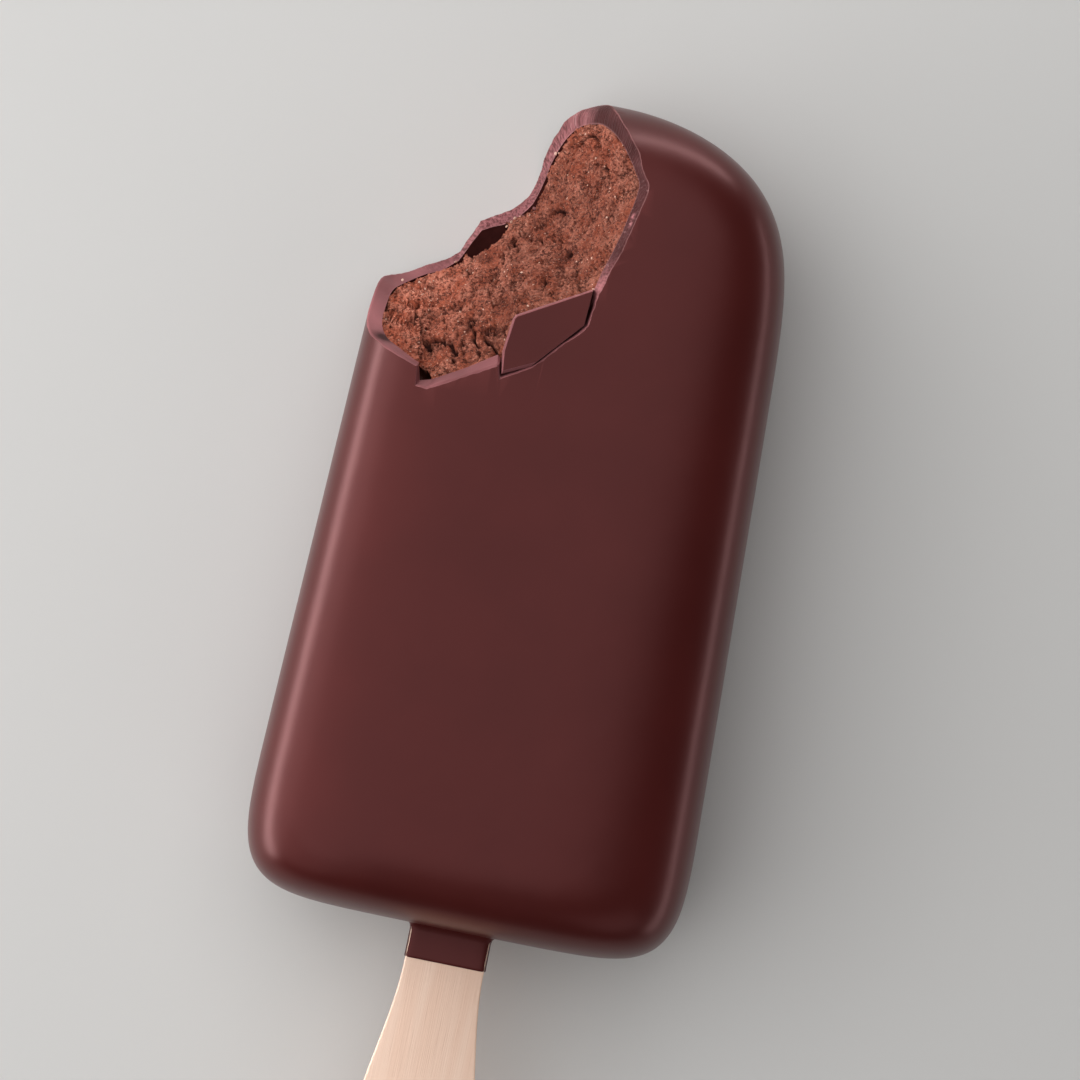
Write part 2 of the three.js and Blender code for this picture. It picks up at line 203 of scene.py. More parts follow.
def body_stations(inset, end_steps, straight_steps, top_steps):
    """Places along the bar, close together where it closes: y, middle height, half sizes."""
    length, power = STICK_END_OUTLINE[:2]
    quarter = math.pi / 2
    places = []
    for i in range(1, end_steps + 1):
        share = 1 - math.cos(quarter * i / end_steps) ** (2 / power)
        places.append(inset + (length - inset) * share)
    top_length, top_power = TOP_OUTLINE[:2]
    top_start = BODY_LENGTH - top_length
    for i in range(1, straight_steps + 1):
        places.append(length + (top_start - length) * i / straight_steps)
    for i in range(1, top_steps):
        share = math.sin(quarter * i / top_steps) ** (2 / top_power)
        places.append(top_start + (top_length - TOP_THICKER * inset) * share)
    return [(y, mid_height(y), half_width(y, inset), half_thickness(y, inset)) for y in places]


def signed_power(value, power):
    return math.copysign(abs(value) ** power, value)


def superellipse(sides, side_power, face_power):
    """Ring of x, z points with half sizes of 1."""
    ring = []
    for i in range(sides):
        angle = 2 * math.pi * (i + 0.5) / sides
        x = signed_power(math.cos(angle), 2 / side_power)
        z = signed_power(math.sin(angle), 2 / face_power)
        ring.append((x, z))
    return ring


# ---- Modelling by hand ---------------------------------------------------------------------

SAME_PLACE = 1e-4


def only(piece):
    """Selects one piece and nothing else."""
    if bpy.context.mode != "OBJECT":
        bpy.ops.object.mode_set(mode="OBJECT")
    bpy.ops.object.select_all(action="DESELECT")
    piece.select_set(True)
    bpy.context.view_layer.objects.active = piece
    return piece


def new_piece(name, operator, **settings):
    """Adds a primitive with everything else deselected."""
    if bpy.context.mode != "OBJECT":
        bpy.ops.object.mode_set(mode="OBJECT")
    bpy.ops.object.select_all(action="DESELECT")
    operator(**settings)
    piece = bpy.context.object
    piece.name = name
    piece.data.name = name
    return piece


def edit(piece):
    only(piece)
    bpy.ops.object.mode_set(mode="EDIT")
    bpy.ops.mesh.select_mode(type="VERT")
    bpy.ops.mesh.select_all(action="DESELECT")


def select_vertices(piece, wanted):
    """In edit mode, selects the vertices that pass a test, and the edges and faces between."""
    bpy.ops.mesh.select_all(action="DESELECT")
    form = bmesh.from_edit_mesh(piece.data)
    for vertex in form.verts:
        vertex.select_set(wanted(vertex))
    form.select_flush(True)
    bmesh.update_edit_mesh(piece.data)


def select_edges(piece, wanted):
    bpy.ops.mesh.select_mode(type="EDGE")
    bpy.ops.mesh.select_all(action="DESELECT")
    form = bmesh.from_edit_mesh(piece.data)
    for edge in form.edges:
        edge.select_set(wanted(edge))
    bmesh.update_edit_mesh(piece.data)


def done(piece):
    """Leaves edit mode with all faces pointing outwards."""
    bpy.ops.mesh.select_all(action="SELECT")
    bpy.ops.mesh.normals_make_consistent(inside=False)
    bpy.ops.object.mode_set(mode="OBJECT")
    return piece


def modify(piece, kind, **settings):
    """Adds a modifier and applies it."""
    only(piece)
    modifier = piece.modifiers.new(kind.title(), kind)
    for key, value in settings.items():
        setattr(modifier, key, value)
    bpy.ops.object.modifier_apply(modifier=modifier.name)
    return piece


def combine(piece, operation, tool):
    """Joins a piece with a tool, or cuts it by the tool, and removes the tool."""
    modify(piece, "BOOLEAN", operation=operation, object=tool, solver="MANIFOLD")
    piece.data.materials.clear()
    bpy.data.objects.remove(tool, do_unlink=True)
    return piece


def loft(name, ring, stations):
    """Closed form: a ring is extruded from station to station and scaled on the way."""
    piece = new_piece(name, bpy.ops.mesh.primitive_circle_add, vertices=len(ring), radius=1)
    for vertex, (x, z) in zip(piece.data.vertices, ring):
        vertex.co = (x, 0, z)
    edit(piece)
    bpy.ops.mesh.select_all(action="SELECT")
    y, z, width, height = stations[0]
    bpy.ops.transform.resize(value=(width, 1, height), center_override=(0, 0, 0))
    bpy.ops.transform.translate(value=(0, y, z))
    for station in stations[1:]:
        next_y, next_z, next_width, next_height = station
        move = {"value": (0, next_y - y, next_z - z)}
        bpy.ops.mesh.extrude_edges_move(TRANSFORM_OT_translate=move)
        grow = (next_width / width, 1, next_height / height)
        bpy.ops.transform.resize(value=grow, center_override=(0, next_y, next_z))
        y, z, width, height = station
    bpy.ops.mesh.edge_face_add()
    first = stations[0][0]
    select_vertices(piece, lambda v: abs(v.co.y - first) < SAME_PLACE)
    bpy.ops.mesh.edge_face_add()
    return done(piece)


def bar_form(name, inset, sides, end_steps, straight_steps, top_steps):
    """The bar's form, set in from its surface, with a flat underside."""
    stations = body_stations(inset, end_steps, straight_steps, top_steps)
    piece = loft(name, superellipse(sides, SIDE_POWER, FACE_POWER), stations)
    edit(piece)
    select_vertices(piece, lambda v: v.co.z < inset)
    bpy.ops.transform.resize(value=(1, 1, 0), center_override=(0, 0, inset))
    return done(piece)


def lump(name, centre, radii, turn):
    """Rounded lump, turned about its upright axis by an angle in degrees."""
    piece = new_piece(name, bpy.ops.mesh.primitive_ico_sphere_add, subdivisions=4, radius=1)
    edit(piece)
    bpy.ops.mesh.select_all(action="SELECT")
    bpy.ops.transform.resize(value=radii, center_override=(0, 0, 0))
    bpy.ops.object.mode_set(mode="OBJECT")
    piece.rotation_euler.z = math.radians(turn)
    piece.location = centre
    bpy.ops.object.transform_apply(location=True, rotation=True, scale=True)
    return piece


# ---- Bite ----------------------------------------------------------------------------------

LAST_ROW = len(BITE_ROWS) - 1
# Past the broken plate the kinks of the bitten face are rounded over some columns either way.
FIRST_FREE_ROW = 10.3
ROUNDED_COLUMNS = 4
CORE_ROWS = [(row[0], CORE_LIPS.get(i, row[1]), *row[2:]) for i, row in enumerate(BITE_ROWS)]


def catmull_rom(a, b, c, d, t):
    """Point between b and c on a smooth curve through four points."""
    cubic = 3 * b - a - 3 * c + d
    square = 2 * a - 5 * b + 4 * c - d
    return 0.5 * (2 * b + (c - a) * t + square * t**2 + cubic * t**3)


def bite_line(rows, along):
    """Front, lip and back of the bitten face at a fractional row number."""
    i = min(int(along), LAST_ROW - 1)
    share = along - i
    here, after = rows[i], rows[i + 1]
    before = here if here[3] else rows[i - 1]
    beyond = after if after[3] else rows[i + 2]
    front, lip = [np.array(here[k]) * (1 - share) + np.array(after[k]) * share for k in (0, 1)]
    back = catmull_rom(*[np.array(row[2]) for row in (before, here, after, beyond)], share)
    return np.array([(*front, FRONT_HEIGHT), lip, (*back, 0)])


def bite_columns(rows, size):
    """Fractional row numbers that split the bitten face into columns of about one size."""
    columns = []
    for i in range(LAST_ROW):
        moves = bite_line(rows, i + 1) - bite_line(rows, i)
        parts = max(1, round(np.linalg.norm(moves, axis=1).mean() / size))
        columns += [i + k / parts for k in range(parts)]
    return columns + [LAST_ROW]


def bitten_points(rows, columns, heights, rounding=0):
    """Points of the bitten face, one row a height. Its kinks can be rounded over some columns."""
    lines = np.array([bite_line(rows, t) for t in columns])
    padded = np.pad(lines, ((rounding, rounding), (0, 0), (0, 0)), mode="edge")
    rounded = np.mean([padded[i : i + len(lines)] for i in range(2 * rounding + 1)], axis=0)
    free = np.array(columns) > FIRST_FREE_ROW
    lines[free] = rounded[free]
    front, lip, back = lines.transpose(1, 0, 2)
    height = np.array(heights)[:, None, None]
    lip_height = lip[:, 2:]
    below = back + (lip - back) * height / lip_height
    above = lip + (front - lip) * (height - lip_height) / (FRONT_HEIGHT - lip_height)
    return np.where(height > lip_height, above, below)


def into_bar(points):
    """Level directions from the bitten face into the bar."""
    reach = 3
    padded = np.pad(points, ((0, 0), (reach, reach), (0, 0)), mode="edge")
    run = padded[:, 2 * reach :] - padded[:, : -2 * reach]
    run /= np.linalg.norm(run, axis=2, keepdims=True)
    return np.stack([run[..., 1], -run[..., 0], np.zeros(run.shape[:2])], axis=2)


def bite_tool(name, rows, column_size, height_count, recess):
    """Solid that takes the bite away. Its bitten face lies behind the plain one by the recess."""
    columns = bite_columns(rows, column_size)
    heights = np.linspace(BITE_LOW, BITE_HIGH, height_count)
    points = bitten_points(rows, columns, heights, ROUNDED_COLUMNS)
    flat = points.reshape(-1, 3)
    depth = recess(flat)
    flat = flat + into_bar(points).reshape(-1, 3) * depth[:, None]
    width = len(columns)
    piece = new_piece(name, bpy.ops.mesh.primitive_grid_add,
                      x_subdivisions=width - 1, y_subdivisions=height_count - 1)
    piece.data.vertices.foreach_set("co", flat.ravel())
    edit(piece)
    select_vertices(piece, lambda v: v.index % width == width - 1)
    bpy.ops.mesh.extrude_edges_move(TRANSFORM_OT_translate={"value": (0, FAR_TOP - flat[-1, 1], 0)})
    bpy.ops.mesh.extrude_edges_move(TRANSFORM_OT_translate={"value": (FAR_LEFT, 0, 0)})
    bpy.ops.transform.resize(value=(0, 1, 1), center_override=(FAR_LEFT, FAR_TOP, 0))
    bpy.ops.transform.resize(value=(1, 0, 1), center_override=(FAR_LEFT, FAR_TOP, 0))
    first_column = range(0, width * height_count, width)
    form = bmesh.from_edit_mesh(piece.data)
    form.verts.ensure_lookup_table()
    for index in first_column:
        form.verts[index].select_set(True)
    form.select_flush(True)
    bmesh.update_edit_mesh(piece.data)
    bpy.ops.mesh.bridge_edge_loops()
    for height in (BITE_LOW, BITE_HIGH):
        select_vertices(piece, lambda v: abs(v.co.z - height) < SAME_PLACE)
        bpy.ops.mesh.edge_face_add()
    return done(piece), flat, depth


# ---- Torn ice cream ------------------------------------------------------------------------

CRACK_WIDTH = 0.2
CRACK_DEPTH = 1.1
FINE_CRACK_DEPTH = 0.55
PIT_DEPTH = 0.5
# Fine cracks and slots run down the torn face in its left half, and every way past that.
DOWN_THE_FACE = np.array([1, 0.3, 0.26])
LEFT_HALF_END = -8
# Cracks in the torn ice cream: row number and height of their points.
CRACKS = [
    [(1.8, 10.4), (2.0, 11.5), (2.3, 12.6), (2.3, 13.9), (2.9, 14.2), (3.2, 15.1)],
    [(2.9, 14.1), (3.2, 13.4), (3.8, 14.1), (4.1, 15.3)],
    [(4.1, 14.7), (4.2, 16), (4.3, 17.6)],
    [(4.2, 17.7), (4.3, 18.7)],
    [(4.5, 14.1), (4.5, 13), (4.6, 13.5), (4.6, 14.6)],
    [(4.6, 15), (4.6, 16.6), (4.7, 18.3), (4.7, 19.9)],
    [(0.9, 9.9), (1, 11.4)],
    [(1.8, 8.8), (1.8, 9.6)],
    [(4.1, 9.4), (4.3, 9.5), (4.6, 9.9)],
    [(4.4, 15.7), (4.4, 17)],
    [(8.8, 5.3), (9.8, 5.3), (10.2, 5.3), (10.4, 6.2), (10.5, 7.8)],
    [(7.4, 5.4), (7.3, 6.2), (7.4, 7.1)],
    [(8.1, 6.3), (8.2, 7.6)],
    [(8.7, 7.2), (8.7, 9.1)],
    [(6.5, 6.6), (6.6, 8.8)],
    [(9.8, 12.1), (9.7, 13.1)],
    [(7.8, 14.8), (8.1, 14.4), (8.1, 16.4)],
    [(6.8, 12.8), (6.9, 14.7)],
    [(5.6, 16.2), (6.3, 18.8)],
    [(4.9, 15.8), (4.8, 17.1), (4.9, 19), (5.7, 20.6)],
    [(6.7, 17.9), (6.7, 19.4)],
    [(5.7, 13.2), (6.2, 12.8)],
    [(12.7, 6.6), (13, 6.8), (13.6, 8), (14.1, 9.9), (14, 11), (13.3, 12)],
    [(12.2, 12), (12.3, 13.2), (11.9, 14)],
]


def noise_at(points, size, seed=0):
    """Noise from about -1 to 1 with lumps of about a size, one value a point."""
    shift = Vector((3.1, 7.7, 1.9)) * seed
    return np.array([noise.noise(Vector(point) / size + shift) for point in points])


def crumbs_at(points, size, seed=0):
    """Distance from the middle of the nearest crumb, about 0 to 1, one value a point."""
    shift = Vector((3.1, 7.7, 1.9)) * seed
    return np.array([noise.voronoi(Vector(point) / size + shift)[0][0] for point in points])


def crack_share(points):
    """How deep in a crack points of the bitten face are, from 0 to 1."""
    wander = [0.3 * noise_at(points, 0.9, 14 + k) + 0.2 * noise_at(points, 0.32, 17 + k)
              for k in range(3)]
    places = points + np.transpose(wander)
    width = CRACK_WIDTH * (1.1 + 0.6 * noise_at(points, 0.8, 5))
    deepest = np.zeros(len(points))
    for line in CRACKS:
        corners = [bitten_points(CORE_ROWS, [row], [height])[0, 0] for row, height in line]
        for start, end in zip(corners, corners[1:]):
            along = end - start
            share = np.clip((places - start) @ along / (along @ along), 0, 1)
            away = np.linalg.norm(places - start - share[:, None] * along, axis=1)
            deepest = np.maximum(deepest, np.exp(-((away / width) ** 4)))
    return deepest


def pit_share(points):
    """Small pits, and short slots that run down the torn face in its left half, from 0 to 1."""
    pits = noise_at(points, 0.8, 1) + 0.6 * noise_at(points, 0.33, 2)
    down = points * DOWN_THE_FACE
    slots = noise_at(down, 0.42, 8) + 0.35 * noise_at(down, 0.2, 9)
    slots -= 0.3 * np.clip((points[:, 0] - LEFT_HALF_END) / 6, 0, 1)
    return np.clip((np.maximum(pits - 0.62, slots - 0.48)) / 0.16, 0, 1)


def fine_crack_share(points):
    """Short hairline cracks along the zero line of a wandering noise, from 0 to 1."""
    left = np.clip((LEFT_HALF_END + 4 - points[:, :1]) / 4, 0, 1)
    drawn_out = points * (1 + (DOWN_THE_FACE - 1) * left)
    wandering = np.abs(noise_at(drawn_out, 1.2, 10) + 0.45 * noise_at(drawn_out, 0.4, 11))
    here = np.clip((noise_at(points, 1.9, 12) + 0.05) / 0.2, 0, 1)
    return here * np.clip(1.6 - wandering / 0.06, 0, 1)


def torn_recess(points):
    """How far the torn ice cream lies behind the plain bitten face."""
    lumps = 0.3 * noise_at(points, 3.3) + 0.2 * noise_at(points, 1.3)
    crumbs = 0.2 * (crumbs_at(points, 0.75, 3) - 0.4) + 0.3 * (crumbs_at(points, 0.4, 4) - 0.4)
    holes = np.maximum(PIT_DEPTH * pit_share(points), CRACK_DEPTH * crack_share(points))
    holes = np.maximum(holes, FINE_CRACK_DEPTH * fine_crack_share(points))
    return 0.16 + lumps + crumbs + 0.18 * noise_at(points, 0.27) + holes


def painted_light_share(points):
    """Painted light on the ice cream, from 0 to 1: most at the left, and some at the top. Less of it
    gives more painted shade.
    """
    left = np.clip((LEFT_HALF_END - points[:, 0]) / 10, 0, 1)
    top = 0.25 * np.clip((points[:, 1] - 81) / 3, 0, 1)
    return np.clip(left + top + 0.1 * noise_at(points, 4, 13), 0, 1)


# ---- Broken coating ------------------------------------------------------------------------

# How far the edge of the break chipped away at the skin.
CHIPPED_EDGE = 0.14


def snapped_recess(points):
    """Unevenness of the snapped chocolate: slow waves, and an edge that chipped at the skin."""
    recess = 0.1 * noise_at(points, 2.4)
    near = np.abs(form_value(points, 0) - 1) < 0.3
    places = points[near]
    chip = CHIPPED_EDGE * (1 + 0.6 * noise_at(places, 0.7, 7))
    recess[near] += np.clip(chip - depth_below(places, 0), 0, 1.5 * chip)
    return recess


# Where the snapped wall is darker or paler than the rest, partly its own tone and partly painted shade
# and painted highlights: place, reach and change in tone.
SNAP_TONES_AND_PAINTED_LIGHT = [
    # Painted highlights: glossy streaks on the right wall.
    ((3.6, 77.0, 21.1), 0.35, 0.9),
    ((3.5, 76.2, 21.4), 0.3, 0.8),
    ((0.2, 84.9, 17.4), 0.4, 0.4),
    # Painted light on the strip of wall at the plate's top right corner.
    ((1.5, 68.9, 21.7), 0.9, 0.4),
    # Painted shade in the wedge of gap right of the plate.
    ((0.9, 66.6, 21.4), 0.9, -0.7),
    ((-10.6, 57.3, 21.4), 3.5, -0.2),
    ((-21.4, 62.0, 13.5), 5.0, 0.3),
    # Painted shade on a facet at the left corner.
    ((-19.4, 59.6, 17.7), 1.1, -0.8),
    ((-15.8, 58.0, 19.6), 0.8, 0.3),
]
# Painted shade on the right wall, which faces away from the light, from above the broken plate to the
# top.
PAINTED_SHADE_LEFT, PAINTED_SHADE_LOW = -3.3, 70
# Ribs cross the snapped wall at the top and the back, and fade out at the left.
RIBS_LEFT, RIBS_LOW = -21, 67


def snap_tone_and_painted_light(points):
    """Tone of the snapped wall with its painted shade and painted highlights, from 0 for dark to 1 for
    pale.
    """
    right = np.clip((points[:, 0] - PAINTED_SHADE_LEFT) / 1.2, 0, 1)
    above_plate = np.clip((points[:, 1] - PAINTED_SHADE_LOW) / 2.5, 0, 1)
    # Painted shade on the right wall above the plate. The noise is random tone.
    tone = 0.55 - 0.52 * right * above_plate + 0.14 * noise_at(points, 2.1, 6)
    for place, reach, change in SNAP_TONES_AND_PAINTED_LIGHT:
        away = np.linalg.norm(points - place, axis=1)
        tone += change * np.exp(-((away / reach) ** 2))
    return np.clip(tone, 0, 1)


# ---- Pieces --------------------------------------------------------------------------------

SKIN, SNAPPED, INSIDE = range(3)
HOLLOW = {"centre": (-11.1, 72.6, 2.4), "radii": (2.8, 1.2, 2.6), "turn": 53}
CORNER_GAP = {"centre": (-14.6, 56.7, 19.6), "radii": (1.5, 0.6, 1.8), "turn": -45}
STICK_HEIGHT = mid_height(0)
# Room between the stick and what it runs in.
SNUG = 0.02
# A vertex of the ice cream this near the torn face is on it. Any other gets painted shade as dark as if
# it lay this deep in a crack.
NEAR_TORN_FACE = 0.05
PAINTED_SHADE_DEPTH = 1.4
CRYSTAL_COUNT = 160
CRYSTAL_RADII = (0.05, 0.06, 0.07, 0.09, 0.12)
# Bright crumbs that stuck at the edge of the break.
EDGE_CRUMB_RADIUS = 0.16
EDGE_CRUMBS = [
    (-19.1, 66.4, 5.8), (-16.5, 65.9, 6.5), (-14.0, 69.6, 2.2), (-9.4, 74.4, 2.9),
    (-9.0, 75.0, 2.4), (-8.7, 75.5, 2.1), (-6.7, 57.8, 22.4), (1.1, 68.8, 21.3), (-5.8, 83.1, 3.3),
]


def mesh_array(collection, attribute, width, kind=np.float32):
    values = np.empty(len(collection) * width, kind)
    collection.foreach_get(attribute, values)
    return values.reshape(-1, width) if width > 1 else values


def store(piece, name, values, kind="FLOAT", field="value"):
    """Keeps one number or place a vertex for the piece's material."""
    attribute = piece.data.attributes.new(name, kind, "POINT")
    attribute.data.foreach_set(field, np.asarray(values, np.float32).ravel())


def into_frame(piece):
    """Brings a piece from millimetres and body y to metres in the frame."""
    only(piece)
    piece.scale = (MM, MM, MM)
    piece.location = (0, BODY_START * MM, 0)
    bpy.ops.object.transform_apply(location=True, rotation=True, scale=True)
    return piece


def stick_half_width(out):
    share = np.clip((out - FLARE_START) / (FLARE_END - FLARE_START), 0, 1)
    return (STICK_WAIST + (STICK_FLARE - STICK_WAIST) * share**2 * (3 - 2 * share)) / 2


def stick_run(name, start, end, room):
    """Straight run round the stick with some room to it on every side."""
    piece = new_piece(name, bpy.ops.mesh.primitive_cube_add, size=1)
    piece.scale = (STICK_WAIST + 2 * room, end - start, STICK_THICKNESS + 2 * room)
    piece.location = (0, (start + end) / 2, STICK_HEIGHT)
    bpy.ops.object.transform_apply(location=True, rotation=True, scale=True)
    return piece


def sleeve_form(name):
    """Chocolate that ran down the stick, with a soft fillet where it leaves the bar."""
    width = STICK_WAIST / 2 + SLEEVE_WALL
    height = STICK_THICKNESS / 2 + SLEEVE_WALL
    profile = [
        (-SLEEVE_LENGTH, -0.05), (0.03 - SLEEVE_LENGTH, -0.02), (0.09 - SLEEVE_LENGTH, 0.01),
        (0.25 - SLEEVE_LENGTH, 0.02), (0.6 - SLEEVE_LENGTH, 0), (-0.9, 0.0), (-0.6, 0.03),
        (-0.4, 0.09), (-0.25, 0.18), (-0.12, 0.32), (-0.03, 0.5), (0.03, 0.72), (0.8, 0.75),
    ]
    stations = [(y, STICK_HEIGHT, width + grow, height + grow) for y, grow in profile]
    return loft(name, superellipse(64, 14, 6), stations)


def surface_tree(piece):
    """A piece's surface, for distances to it."""
    form = bmesh.new()
    form.from_mesh(piece.data)
    tree = BVHTree.FromBMesh(form)
    form.free()
    return tree


def make_coating():
    """Coating with its bite, and the surfaces that it has on its outside and inside."""
    piece = bar_form("chocolate_coating", 0, sides=168, end_steps=28, straight_steps=14, top_steps=40)
    inside = bar_form("inside", COATING, sides=128, end_steps=22, straight_steps=10, top_steps=30)
    surfaces = surface_tree(piece), surface_tree(inside)
    combine(piece, "UNION", sleeve_form("sleeve"))
    combine(piece, "DIFFERENCE", inside)
    combine(piece, "DIFFERENCE", stick_run("neck", -SLEEVE_LENGTH - 1, 3, SNUG))
    tool, _, _ = bite_tool("coating_bite", BITE_ROWS, column_size=0.12, height_count=300,
                           recess=snapped_recess)
    combine(piece, "DIFFERENCE", tool)
    sort_coating_faces(piece)
    mark_wall(piece, surfaces)
    return piece, surfaces


def nearest_points(piece, points):
    """For each vertex of a piece, which of some points is nearest and how far away it is."""
    tree = KDTree(len(points))
    for index, point in enumerate(points):
        tree.insert(point, index)
    tree.balance()
    found = [tree.find(vertex.co)[1:] for vertex in piece.data.vertices]
    return np.array([index for index, _ in found]), np.array([away for _, away in found])


def mark_wall(piece, surfaces):
    """Stores what the snapped wall's finish needs: how far through the coating a vertex lies,

    how ribbed the wall is there, its tone with painted shade and painted highlights, and the nearest
    place on the skin.
    """
    points = mesh_array(piece.data.vertices, "co", 3)
    on_skin, on_inside = [[tree.find_nearest(point) for point in points] for tree in surfaces]
    from_skin = np.array([found[3] for found in on_skin])
    from_inside = np.array([found[3] for found in on_inside])
    ribs_from_left = np.clip((points[:, 0] - RIBS_LEFT) / 3, 0, 1)
    ribs_from_low = np.clip((points[:, 1] - RIBS_LOW) / 4, 0, 1)
    store(piece, "through", from_skin / np.maximum(from_skin + from_inside, 1e-6))
    store(piece, "ribbed", ribs_from_low * ribs_from_left)
    store(piece, "tone", snap_tone_and_painted_light(points))
    store(piece, "skin_place", [found[0] for found in on_skin], "FLOAT_VECTOR", "vector")


def sort_coating_faces(piece):
    """Gives the skin, the snapped wall and the inside their own material slots."""
    off_form, along_form, sleeve_top = 0.06, 0.93, 0.3
    mesh = piece.data
    centres = mesh_array(mesh.polygons, "center", 3)
    normals = mesh_array(mesh.polygons, "normal", 3)
    skin = np.abs(form_value(centres, 0) - 1) < off_form
    skin &= (form_normal(centres, 0) * normals).sum(1) > along_form
    skin |= centres[:, 1] < sleeve_top
    inside = np.abs(form_value(centres, COATING) - 1) < off_form
    inside &= (form_normal(centres, COATING) * normals).sum(1) < -along_form
    slots = np.full(len(centres), SNAPPED)
    slots[inside] = INSIDE
    slots[skin] = SKIN
    mesh.polygons.foreach_set("material_index", slots.astype(np.int32))


def remove_specks(piece):
    """Removes what the cuts left loose: all that doesn't hang on the stick end."""
    edit(piece)
    select_vertices(piece, lambda v: v.co.y < BODY_LENGTH / 4)
    bpy.ops.mesh.select_linked()
    bpy.ops.mesh.select_all(action="INVERT")
    bpy.ops.mesh.delete(type="VERT")
    bpy.ops.object.mode_set(mode="OBJECT")


def on_torn_face(points):
    """Which points of the bitten face lie on the ice cream, clear of the holes beside it."""
    there = (form_value(points, CORE_INSET) < 1) & (points[:, 2] > CORE_INSET)
    for hole in (HOLLOW, CORNER_GAP):
        turn = math.radians(hole["turn"])
        away = points - hole["centre"]
        along = away[:, 0] * math.cos(turn) + away[:, 1] * math.sin(turn)
        across = away[:, 1] * math.cos(turn) - away[:, 0] * math.sin(turn)
        share = np.stack([along, across, away[:, 2]], axis=1) / hole["radii"]
        there &= np.linalg.norm(share, axis=1) > 1
    return there


def make_ice_cream():
    """Core with its torn face, and the places on that face where crystals may sit."""
    piece = bar_form("ice_cream_core", CORE_INSET, sides=112, end_steps=18, straight_steps=8,
                     top_steps=24)
    combine(piece, "DIFFERENCE", stick_run("stick_slot", 0, STICK_IN, SNUG))
    tool, points, depths = bite_tool("core_bite", CORE_ROWS, column_size=0.11, height_count=260,
                                     recess=torn_recess)
    combine(piece, "DIFFERENCE", tool)
    combine(piece, "DIFFERENCE", lump("hollow", **HOLLOW))
    combine(piece, "DIFFERENCE", lump("corner_gap", **CORNER_GAP))
    remove_specks(piece)
    nearest, away = nearest_points(piece, points)
    bitten = away < NEAR_TORN_FACE
    # The recess depth also sets the painted shade. Vertices off the torn face, in the hollow and under
    # the coating, get the darkest painted shade.
    store(piece, "depth", np.where(bitten, depths[nearest], PAINTED_SHADE_DEPTH))
    # Painted light and shade on the torn ice cream: lighter at the left and the top.
    store(piece, "painted_light_share", painted_light_share(mesh_array(piece.data.vertices, "co", 3)))
    return piece, points[on_torn_face(points)]


def make_plate(surfaces):
    """Plate of coating that cracked off and stayed on, a little sunk at its right.

    Its corners are x and y of the top on the skin, and of the foot under it.
    """
    corners = [
        ((-6.1, 64.45), (-6.2, 64.6)),
        ((-6.35, 64.1), (-6.47, 64.15)),
        ((-6.75, 60.6), (-6.87, 60.6)),
        ((-6.5, 58.25), (-6.6, 58.0)),
        ((-3.6, 59.65), (-3.55, 59.4)),
        ((0.9, 64.85), (0.7, 65.0)),
        ((1.1, 68.65), (1.1, 68.8)),
    ]
    middle = Vector((-2.8, 63.2, front_height(-2.8, 63.2)))
    thickness = 1.55
    tilt = math.radians(1.5)
    lift = 0.08
    piece = new_piece("broken_plate", bpy.ops.mesh.primitive_circle_add,
                      vertices=len(corners), radius=1, fill_type="NGON")
    for vertex, (_, foot) in zip(piece.data.vertices, corners):
        vertex.co = Vector((*foot, front_height(*foot) - thickness)) - middle
    edit(piece)
    bpy.ops.mesh.select_all(action="SELECT")
    bpy.ops.mesh.extrude_region_move(TRANSFORM_OT_translate={"value": (0, 0, thickness)})
    bpy.ops.object.mode_set(mode="OBJECT")
    for vertex, (top, _) in zip(piece.data.vertices[len(corners):], corners):
        vertex.co = Vector((*top, front_height(*top))) - middle
    edit(piece)
    top = max(vertex.co.z for vertex in piece.data.vertices)

    def on_top(edge):
        return min(vertex.co.z for vertex in edge.verts) > top - 0.4

    def at_lower_left(edge):
        return on_top(edge) and max(vertex.co.y for vertex in edge.verts) + middle.y < 60

    def at_left_or_above(edge):
        edge_x = sum(vertex.co.x for vertex in edge.verts) / 2
        edge_y = sum(vertex.co.y for vertex in edge.verts) / 2
        return on_top(edge) and (edge_x < -3.2 or edge_y > 3) and edge_x < 3.7

    # The plate chipped most at its lower left, and least at its right and below.
    for wanted, width in ((at_lower_left, 0.24), (at_left_or_above, 0.09), (on_top, 0.02)):
        select_edges(piece, wanted)
        bpy.ops.mesh.bevel(offset=width, segments=1, affect="EDGES")
    done(piece)
    for face in piece.data.polygons:
        face.material_index = SKIN if face.normal.z > 0.97 else SNAPPED
    piece.rotation_euler.y = tilt
    piece.location = middle + Vector((0, 0, lift))
    bpy.ops.object.transform_apply(location=True, rotation=True, scale=True)
    mark_wall(piece, surfaces)
    return piece


